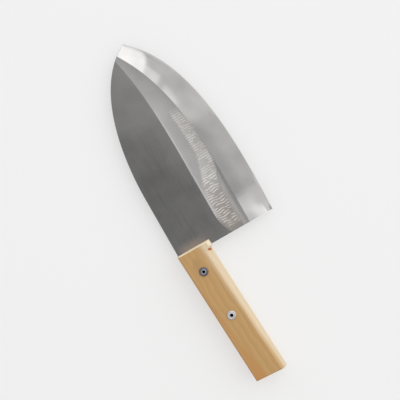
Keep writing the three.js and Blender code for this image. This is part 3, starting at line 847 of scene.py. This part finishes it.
class KNIFE_OT_blade(bpy.types.Operator):
    """Makes the blade: flats, hollow, bevel, honed edge and tang"""

    bl_idname = "knife.blade"
    bl_label = "Blade"

    def execute(self, context):
        s = context.scene.knife_blade
        shape = BladeShape(s)
        rows = blade_rows()
        stations = MARKED_STATIONS + PLAIN_STATIONS
        bm = bmesh.new()
        bmesh.ops.create_grid(bm, x_segments=stations, y_segments=len(rows) - 1, size=1)
        for tint in (HANDLE_REFLECTION, HEEL_DARK, MARK_GLINTS):
            bm.verts.layers.float.new(tint)
        stain, scour, marks = [bm.verts.layers.float[tint] for tint in (HANDLE_REFLECTION, HEEL_DARK, MARK_GLINTS)]
        row_of = {}
        for vert in bm.verts:
            station = round((vert.co.x + 1) / 2 * stations)
            row = round((vert.co.y + 1) / 2 * (len(rows) - 1))
            row_of[vert] = row
            zone, share = rows[row]
            x = station_place(station, s.length)
            vert.co = blade_point(shape, x, zone, share)
            if zone == "hollow":
                # The hollow is darker at the heel, between the marks and near its end.
                vert[scour] = heel_darkening(x, share)
                # Painted glints in the wheel's marks.
                vert[marks] = mark_glint_share(s, x, share)
            elif zone == "flat":
                # The flats take a painted reflection of the handle's wood.
                vert[stain] = handle_reflection_share(s, x, vert.co.y)
        for face in bm.faces:
            zone, _ = rows[max(row_of[vert] for vert in face.verts)]
            face.material_index = ZONE_SLOTS[zone]
        self.close_heel(bm)
        bmesh.ops.mirror(bm, geom=bm.verts[:] + bm.edges[:] + bm.faces[:], axis="Z", merge_dist=MERGE)
        bmesh.ops.remove_doubles(bm, verts=bm.verts, dist=MERGE)
        bmesh.ops.dissolve_degenerate(bm, edges=bm.edges, dist=MERGE)
        bmesh.ops.recalc_face_normals(bm, faces=bm.faces)
        handle_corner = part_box("handle")[1]
        middle = sum(corner.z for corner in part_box("handle")) / 2
        heel = Vector((handle_corner.x - s.root_depth, handle_corner.y - s.spine_sink, middle))
        bm.transform(Matrix.Translation(heel) @ Matrix.Rotation(-s.droop, 4, "Z"))
        self.shade_zones(bm)
        self.add_tang(bm, heel, s.droop)
        materials = [
            # Rolled steel is dull and even, with long faint lines, and by the handle a painted reflection of
            # its wood.
            ground_steel(
                "rolled_stainless_flat",
                (s.flat_colour, s.flat_reflection_cloud_colour),
                {HANDLE_REFLECTION: s.handle_reflection_colour},
                roughness=0.19,
                scratch_size=(30, 0.4),
                droop=s.droop,
            ),
            # The coarse wheel leaves fine lines across the hollow, in the way it turned; its marks carry
            # painted glints.
            ground_steel(
                "wheel_ground_stainless",
                (s.hollow_colour, s.hollow_reflection_cloud_colour),
                {HEEL_DARK: s.heel_dark_colour, MARK_GLINTS: s.mark_glint_colour},
                roughness=0.18,
                scratch_size=(0.5, 14),
                droop=s.droop,
            ),
            # The bevel is whetted on a fine stone, and almost mirrors.
            ground_steel(
                "whetted_stainless",
                (s.bevel_colour, s.bevel_reflection_cloud_colour),
                {},
                roughness=0.055,
                scratch_size=(24, 0.35),
                droop=s.droop,
            ),
        ]
        finish_piece("steel_blade", bm, "blade", materials)
        return {"FINISHED"}

    def close_heel(self, bm):
        """Brings the heel's end down to the middle plane."""
        heel_edges = [e for e in bm.edges if e.is_boundary and all(v.co.x < MERGE for v in e.verts)]
        walls = bmesh.ops.extrude_edge_only(bm, edges=heel_edges)["geom"]
        for vert in walls:
            if isinstance(vert, bmesh.types.BMVert):
                vert.co.z = 0

    def shade_zones(self, bm):
        """Keeps the ridges crisp, and the hollow with its marks smooth."""
        shade(bm, RIDGE_ANGLE)
        for edge in bm.edges:
            if all(face.material_index == ZONE_SLOTS["hollow"] for face in edge.link_faces):
                edge.smooth = edge.calc_face_angle(0) < SMOOTH_ANGLE

    def add_tang(self, bm, heel, droop):
        """Takes over the solid's drilled tang, cut off just inside the heel."""
        tang = bmesh.new()
        tang.from_mesh(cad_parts["blade"].data)
        bmesh.ops.remove_doubles(tang, verts=tang.verts, dist=MERGE)
        along = Matrix.Rotation(-droop, 3, "Z") @ Vector((1, 0, 0))
        cut = bmesh.ops.bisect_plane(
            tang,
            geom=tang.verts[:] + tang.edges[:] + tang.faces[:],
            plane_co=heel + along * TANG_OVERLAP,
            plane_no=along,
            clear_outer=True,
        )["geom_cut"]
        rim = [item for item in cut if isinstance(item, bmesh.types.BMEdge)]
        bmesh.ops.contextual_create(tang, geom=rim)
        bmesh.ops.recalc_face_normals(tang, faces=tang.faces)
        shade(tang, SMOOTH_ANGLE)
        for face in tang.faces:
            face.material_index = ZONE_SLOTS["flat"]
        mesh = bpy.data.meshes.new("tang")
        tang.to_mesh(mesh)
        tang.free()
        bm.from_mesh(mesh)
        bpy.data.meshes.remove(mesh)


COLLAR_LENGTH = 6.6 * MM
# A face looks toward the front, or toward the edge side, when its normal reaches this far that way.
FACING = 0.35
LIT_FACE_SLOT = 1


class KNIFE_OT_handle(bpy.types.Operator):
    """Makes the wooden handle, with its edges sanded"""

    bl_idname = "knife.handle"
    bl_label = "Handle"

    def execute(self, context):
        s = context.scene.knife_handle
        bm = bmesh.new()
        bm.from_mesh(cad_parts["handle"].data)
        bmesh.ops.remove_doubles(bm, verts=bm.verts, dist=MERGE)
        bmesh.ops.dissolve_limit(bm, angle_limit=FLAT_JOIN, verts=bm.verts, edges=bm.edges)
        round_corners(bm, HANDLE_CORNER, s.softening)
        shade(bm, SHARP_ANGLE)
        self.mark_lit_faces(bm)
        materials = [
            # Planed wood has darkened in use, and the plane has closed its fibres to a soft sheen.
            softwood("planed_softwood", s, painted_light=0),
            # The front end and the collar's chamfers face the lamps, and their light is painted in, almost
            # white.
            softwood("trimmed_softwood", s, painted_light=0.8),
        ]
        piece = finish_piece("wooden_handle", bm, "handle", materials)
        piece.modifiers.new("even_light", "WEIGHTED_NORMAL").keep_sharp = True
        return {"FINISHED"}

    def mark_lit_faces(self, bm):
        """Gives the second material, pale with painted light, to the front end and to the collar's chamfers.
        """
        collar_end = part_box("handle")[1].x - COLLAR_LENGTH
        for face in bm.faces:
            at_collar = face.calc_center_median().x > collar_end
            if face.normal.x > FACING or (at_collar and face.normal.y < -FACING):
                face.material_index = LIT_FACE_SLOT


SIDES = ("front", "rear")
PIN_GAP = 0.1 * MM
BORE_SHADE_SLOT, BRIGHT_SLOT = 1, 2
# The flange, from the bore out: a rounded mouth, the rim of a crater, a groove, and a dome down to its rim
MOUTH_WIDTH = 0.28 * MM
MOUTH_DEPTH = 0.5 * MM
CRATER_WIDTH = 0.7 * MM
CRATER_RIM = (0.05 * MM, 0.03 * MM)
GROOVE_REACH = (0.3 * MM, 0.75 * MM)
DOME_TOP_PULL = 1.3 * MM
DOME_RIM_PULL = (0.5 * MM, 0.1 * MM)
DOME_POINTS = 7
# Stretch of the tail that has its full width, in shares of its length
TAIL_SWELL = (0.3, 0.7)


class KNIFE_OT_rivets(bpy.types.Operator):
    """Makes the two pulled rivets that hold the tang"""

    bl_idname = "knife.rivets"
    bl_label = "Rivets"

    def execute(self, context):
        s = context.scene.knife_rivets
        bore_shade = bore_soot(s.bore_shade_colour)
        # Aluminium from the press has a soft shine; the front rivet's flange takes a darker grey copy of it,
        # a painted shade.
        bright = pressed_metal("pressed_aluminium", s.bright_colour, roughness=0.3, dent_size=1.2)
        grey = pressed_metal("tarnished_aluminium", s.shaded_flange_colour, roughness=0.34, dent_size=1.2)
        flanges = {"front": grey, "rear": bright}
        for side in SIDES:
            node = f"{side}_rivet"
            body = turning(node)
            bm = turned(self.profile(s, node, body), body.axis, s.rounding)
            for face in bm.faces:
                centre = face.calc_center_median()
                radius = (centre - body.axis).xy.length
                # The bore's wall is painted black as its shade; the crater keeps the bright aluminium.
                if radius < s.bore / 2 + MOUTH_WIDTH and centre.z < body.top - s.rounding / 2:
                    face.material_index = BORE_SHADE_SLOT
                elif radius < s.bore / 2 + CRATER_WIDTH:
                    face.material_index = BRIGHT_SLOT
            finish_piece(f"{side}_blind_rivet", bm, node, [flanges[side], bore_shade, bright])
        return {"FINISHED"}

    def profile(self, s, node, body):
        """Flange with a crater round the bore, shank, and a swollen tail round the pin's head."""
        top, bottom, flange = body.top, body.bottom, body.radius
        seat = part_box("handle")[1].z
        bore, shank = s.bore / 2, s.shank / 2
        washer = turning(node.replace("rivet", "washer")).bottom
        pocket = turning(f"{node}_pin").radius + PIN_GAP
        tail = pocket + 2 * s.tail_wall
        crater = bore + CRATER_WIDTH
        rim_in, rim_down = DOME_RIM_PULL
        groove_in, groove_out = GROOVE_REACH
        dome = interpolate_bezier(
            Vector((flange, seat + s.rim)),
            Vector((flange - rim_in, top - rim_down)),
            Vector((crater + DOME_TOP_PULL, top)),
            Vector((crater + groove_out, top - s.groove)),
            DOME_POINTS,
        )
        pocket_top = bottom + s.pin_head + PIN_GAP
        return [
            (bore, top - MOUTH_DEPTH),
            (bore, pocket_top + pocket - bore),
            (pocket, pocket_top),
            (pocket, bottom),
            (pocket + s.tail_wall, bottom),
            *[(tail, lerp(bottom, washer, share)) for share in TAIL_SWELL],
            (shank + s.tail_wall, washer),
            (shank, washer),
            (shank, seat),
            (flange, seat),
            *[(point.x, point.y) for point in dome],
            (crater + groove_in, top - s.groove),
            (crater - CRATER_RIM[0], top - CRATER_RIM[1]),
            (bore + MOUTH_WIDTH, top),
        ]


# The head of a pin is stamped with a shallow dimple, and its stem ends in a necked break.
# Places across it are shares of the radius there.
DIMPLE = (0.35, 0.55)
DIMPLE_DEPTH = (0.2 * MM, 0.15 * MM)
HEAD_CROWN = 0.1 * MM
NECK = (0.7, 0.75)
NECK_LENGTH = (1 * MM, 0.4 * MM)
BREAK_DEPTH = 0.2 * MM


class KNIFE_OT_rivet_pins(bpy.types.Operator):
    """Makes what is left of the pulled pins"""

    bl_idname = "knife.rivet_pins"
    bl_label = "Rivet pins"

    def execute(self, context):
        s = context.scene.knife_rivets
        # Zinc plate is a dull blue-grey, duller on the pins, which were pulled hard.
        plate = pressed_metal("zinc_plated_pin", s.plate_colour, roughness=0.38, dent_size=0.8)
        for side in SIDES:
            node = f"{side}_rivet_pin"
            axis, bottom, top, head = turning(node)
            stem = s.bore / 2 - PIN_GAP
            head_top = bottom + s.pin_head
            profile = [
                (0, bottom + DIMPLE_DEPTH[0]),
                (head * DIMPLE[0], bottom + DIMPLE_DEPTH[1]),
                (head * DIMPLE[1], bottom),
                (head, bottom + HEAD_CROWN),
                (head, head_top),
                (stem, head_top + head - stem),
                (stem, top - NECK_LENGTH[0]),
                (stem * NECK[0], top - NECK_LENGTH[1]),
                (stem * NECK[1], top),
                (0, top - BREAK_DEPTH),
            ]
            bm = turned(profile, axis, s.rounding)
            finish_piece(f"{side}_pulled_pin", bm, node, [plate])
        return {"FINISHED"}


WASHER_GAP = 0.15 * MM
# The punch drew a washer's rims down a little, on the side that it entered.
DRAWN_WIDTH = 0.35 * MM
DRAWN_DEPTH = 0.12 * MM


class KNIFE_OT_washers(bpy.types.Operator):
    """Makes the washers sunk in the far side"""

    bl_idname = "knife.washers"
    bl_label = "Washers"

    def execute(self, context):
        s = context.scene.knife_rivets
        # The washers keep the even grey of their plating.
        plate = pressed_metal("zinc_plated_washer", s.plate_colour, roughness=0.36, dent_size=1.5)
        for side in SIDES:
            node = f"{side}_washer"
            axis, bottom, top, outer = turning(node)
            inner = s.shank / 2 + WASHER_GAP
            profile = [
                (inner, top),
                (inner, bottom + DRAWN_DEPTH),
                (inner + DRAWN_WIDTH, bottom),
                (outer - DRAWN_WIDTH, bottom),
                (outer, bottom + DRAWN_DEPTH),
                (outer, top),
            ]
            bm = turned(profile, axis, s.rounding)
            finish_piece(f"{side}_plain_washer", bm, node, [plate])
        return {"FINISHED"}


FLOOR_HALF = 4
FLOOR_GAP = 0.05 * MM
# How much of the floor's brightness is its own to the eye and in the steel, whatever light falls on it
FLOOR_GLOW = 0.55
# Middle and half-widths of each dark oval, as the slopes of the directions to them
DARK_OVALS = (
    ((0.024, 0.034), (0.142, 0.082)),
    ((0.334, -0.044), (0.202, 0.092)),
)
OVAL_EDGE = (0.6, 1)
BRIGHT_SIDE = (0.5, -0.8, 0.3)
BRIGHT_RANGE = (-0.4, 0.7)
WINDOW_PLACE = Vector((0.4, -1.2, 1.14))
WINDOW_SIZE = (1.72, 1.72)
CARD_HEIGHT = 1.4
CARD_STEP = 0.01
# Each card hangs level, between two values of x and two of y, a step above the one before it.
# Together they are what the bevel mirrors.
CARDS = {
    "sky_card": ((0.19, 0.8), (-0.52, -0.13)),
    "tip_card": ((0.447, 0.8), (-0.366, -0.06)),
    "step_card": ((0.372, 0.447), (-0.366, -0.258)),
    "wedge_card": ((0.215, 0.345), (-0.36, -0.281)),
    "belly_card": ((-0.045, 0.19), (-0.55, -0.225)),
    "heel_card": ((-0.135, -0.085), (-0.29, -0.12)),
    "heel_glow": ((-0.15, -0.045), (-0.58, -0.12)),
}


class KNIFE_OT_stage(bpy.types.Operator):
    """Makes the floor, the light and the camera"""

    bl_idname = "knife.stage"
    bl_label = "Stage"

    def execute(self, context):
        s = context.scene.knife_stage
        self.lay_floor(context.scene, s)
        self.light_room(context.scene, s)
        window = self.hang_lamp(context.scene, "window", s.window, WINDOW_SIZE, WINDOW_PLACE)
        window.rotation_euler = (-WINDOW_PLACE).to_track_quat("-Z", "Y").to_euler()
        for level, (name, ((left, right), (front, back))) in enumerate(CARDS.items()):
            place = Vector(((left + right) / 2, (front + back) / 2, CARD_HEIGHT + level * CARD_STEP))
            self.hang_lamp(context.scene, name, getattr(s, name), (right - left, back - front), place)
        self.set_camera(context.scene, s)
        context.scene.view_settings.view_transform = "Standard"
        return {"FINISHED"}

    def lay_floor(self, scene, s):
        bm = bmesh.new()
        bmesh.ops.create_grid(bm, x_segments=1, y_segments=1, size=FLOOR_HALF)
        bmesh.ops.translate(bm, verts=bm.verts, vec=(0, 0, CAD_BOX[0].z - FLOOR_GAP))
        mesh = bpy.data.meshes.new("floor")
        bm.to_mesh(mesh)
        bm.free()
        # Matt laminate scatters the light evenly, and takes soft shadows.
        material, tree = new_material("matt_laminate")
        matt = add(tree, "BsdfPrincipled", {"Base Color": list(s.floor_colour), "Roughness": 0.8})
        glow = add(tree, "Emission", {"Color": list(s.floor_colour), "Strength": 1})
        ray = add(tree, "LightPath", {}).outputs
        seen = add(tree, "Math", {0: ray["Is Camera Ray"], 1: ray["Is Glossy Ray"]}, operation="ADD")
        seen = add(tree, "Math", {0: seen.outputs[0], 1: ray["Is Transmission Ray"]}, operation="ADD")
        share = add(tree, "Math", {0: seen.outputs[0], 1: FLOOR_GLOW}, operation="MULTIPLY")
        surface = add(tree, "MixShader", {0: share.outputs[0], 1: matt.outputs[0], 2: glow.outputs[0]})
        add(tree, "OutputMaterial", {"Surface": surface.outputs["Shader"]})
        mesh.materials.append(material)
        floor = bpy.data.objects.new("floor", mesh)
        scene.collection.objects.link(floor)

    def light_room(self, scene, s):
        world = bpy.data.worlds.new("room")
        world.use_nodes = True
        tree = world.node_tree
        tree.nodes.clear()
        toward = add(tree, "TexCoord", {}).outputs["Generated"]
        side = add(tree, "VectorMath", {0: toward, 1: BRIGHT_SIDE}, operation="DOT_PRODUCT")
        dark, bright = BRIGHT_RANGE
        toward_bright = {"Value": side.outputs["Value"], 1: dark, 2: bright, 3: s.dome_low, 4: s.dome_high}
        strength = add(tree, "MapRange", toward_bright).outputs["Result"]
        # The camera and a black card beside it keep the light off, each in an oval.
        height = add(tree, "SeparateXYZ", {"Vector": toward}).outputs["Z"]
        nearer = add(tree, "Math", {0: 1, 1: height}, operation="DIVIDE").outputs[0]
        slope = add(tree, "VectorMath", {0: toward, "Scale": nearer}, operation="SCALE").outputs["Vector"]
        for middle, half_widths in DARK_OVALS:
            lies = {"Location": (*middle, 1), "Scale": (*half_widths, 1)}
            clear = oval(tree, slope, lies, OVAL_EDGE, inside=s.overhead, outside=1)
            strength = add(tree, "Math", {0: strength, 1: clear}, operation="MULTIPLY").outputs[0]
        dome = add(tree, "Background", {"Strength": strength})
        add(tree, "OutputWorld", {"Surface": dome.outputs["Background"]})
        scene.world = world

    def hang_lamp(self, scene, name, brightness, sides, place):
        """A soft lamp that hangs level, and looks as bright as a dome of that strength."""
        lamp = bpy.data.lights.new(name, "AREA")
        lamp.shape = "RECTANGLE"
        lamp.size, lamp.size_y = sides
        lamp.energy = brightness * math.pi * sides[0] * sides[1]
        hung = bpy.data.objects.new(name, lamp)
        hung.location = place
        scene.collection.objects.link(hung)
        return hung

    def set_camera(self, scene, s):
        data = bpy.data.cameras.new("camera")
        data.lens = data.sensor_width * s.camera_height / s.view_width
        camera = bpy.data.objects.new("camera", data)
        camera.location = (s.view_x, s.view_y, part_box("blade")[1].z + s.camera_height)
        camera.rotation_euler = (0, 0, s.camera_turn)
        scene.collection.objects.link(camera)
        scene.camera = camera


class VIEW3D_PT_knife(bpy.types.Panel):
    """Lists the knife's pieces and their settings"""

    bl_label = "Knife"
    bl_space_type = "VIEW_3D"
    bl_region_type = "UI"
    bl_category = "Knife"

    def draw(self, context):
        for settings, operators in SECTIONS.items():
            box = self.layout.box()
            for operator in operators:
                box.operator(operator.bl_idname)
            group = getattr(context.scene, settings)
            for name in group.bl_rna.properties.keys():
                if name not in ("rna_type", "name"):
                    box.prop(group, name)


GROUPS = {
    "knife_blade": BladeSettings,
    "knife_handle": HandleSettings,
    "knife_rivets": RivetSettings,
    "knife_stage": StageSettings,
}
SECTIONS = {
    "knife_blade": [KNIFE_OT_blade],
    "knife_handle": [KNIFE_OT_handle],
    "knife_rivets": [KNIFE_OT_rivets, KNIFE_OT_rivet_pins, KNIFE_OT_washers],
    "knife_stage": [KNIFE_OT_stage],
}
OPERATORS = [operator for operators in SECTIONS.values() for operator in operators]
CLASSES = [*GROUPS.values(), *OPERATORS, VIEW3D_PT_knife]


def register():
    for cls in CLASSES:
        bpy.utils.register_class(cls)
    for name, group in GROUPS.items():
        setattr(bpy.types.Scene, name, PointerProperty(type=group))


def unregister():
    for name in GROUPS:
        delattr(bpy.types.Scene, name)
    for cls in reversed(CLASSES):
        bpy.utils.unregister_class(cls)


def main():
    register()
    bpy.ops.knife.blade()
    bpy.ops.knife.handle()
    bpy.ops.knife.rivets()
    bpy.ops.knife.rivet_pins()
    bpy.ops.knife.washers()
    bpy.ops.knife.stage()


if __name__ == "__main__":
    main()
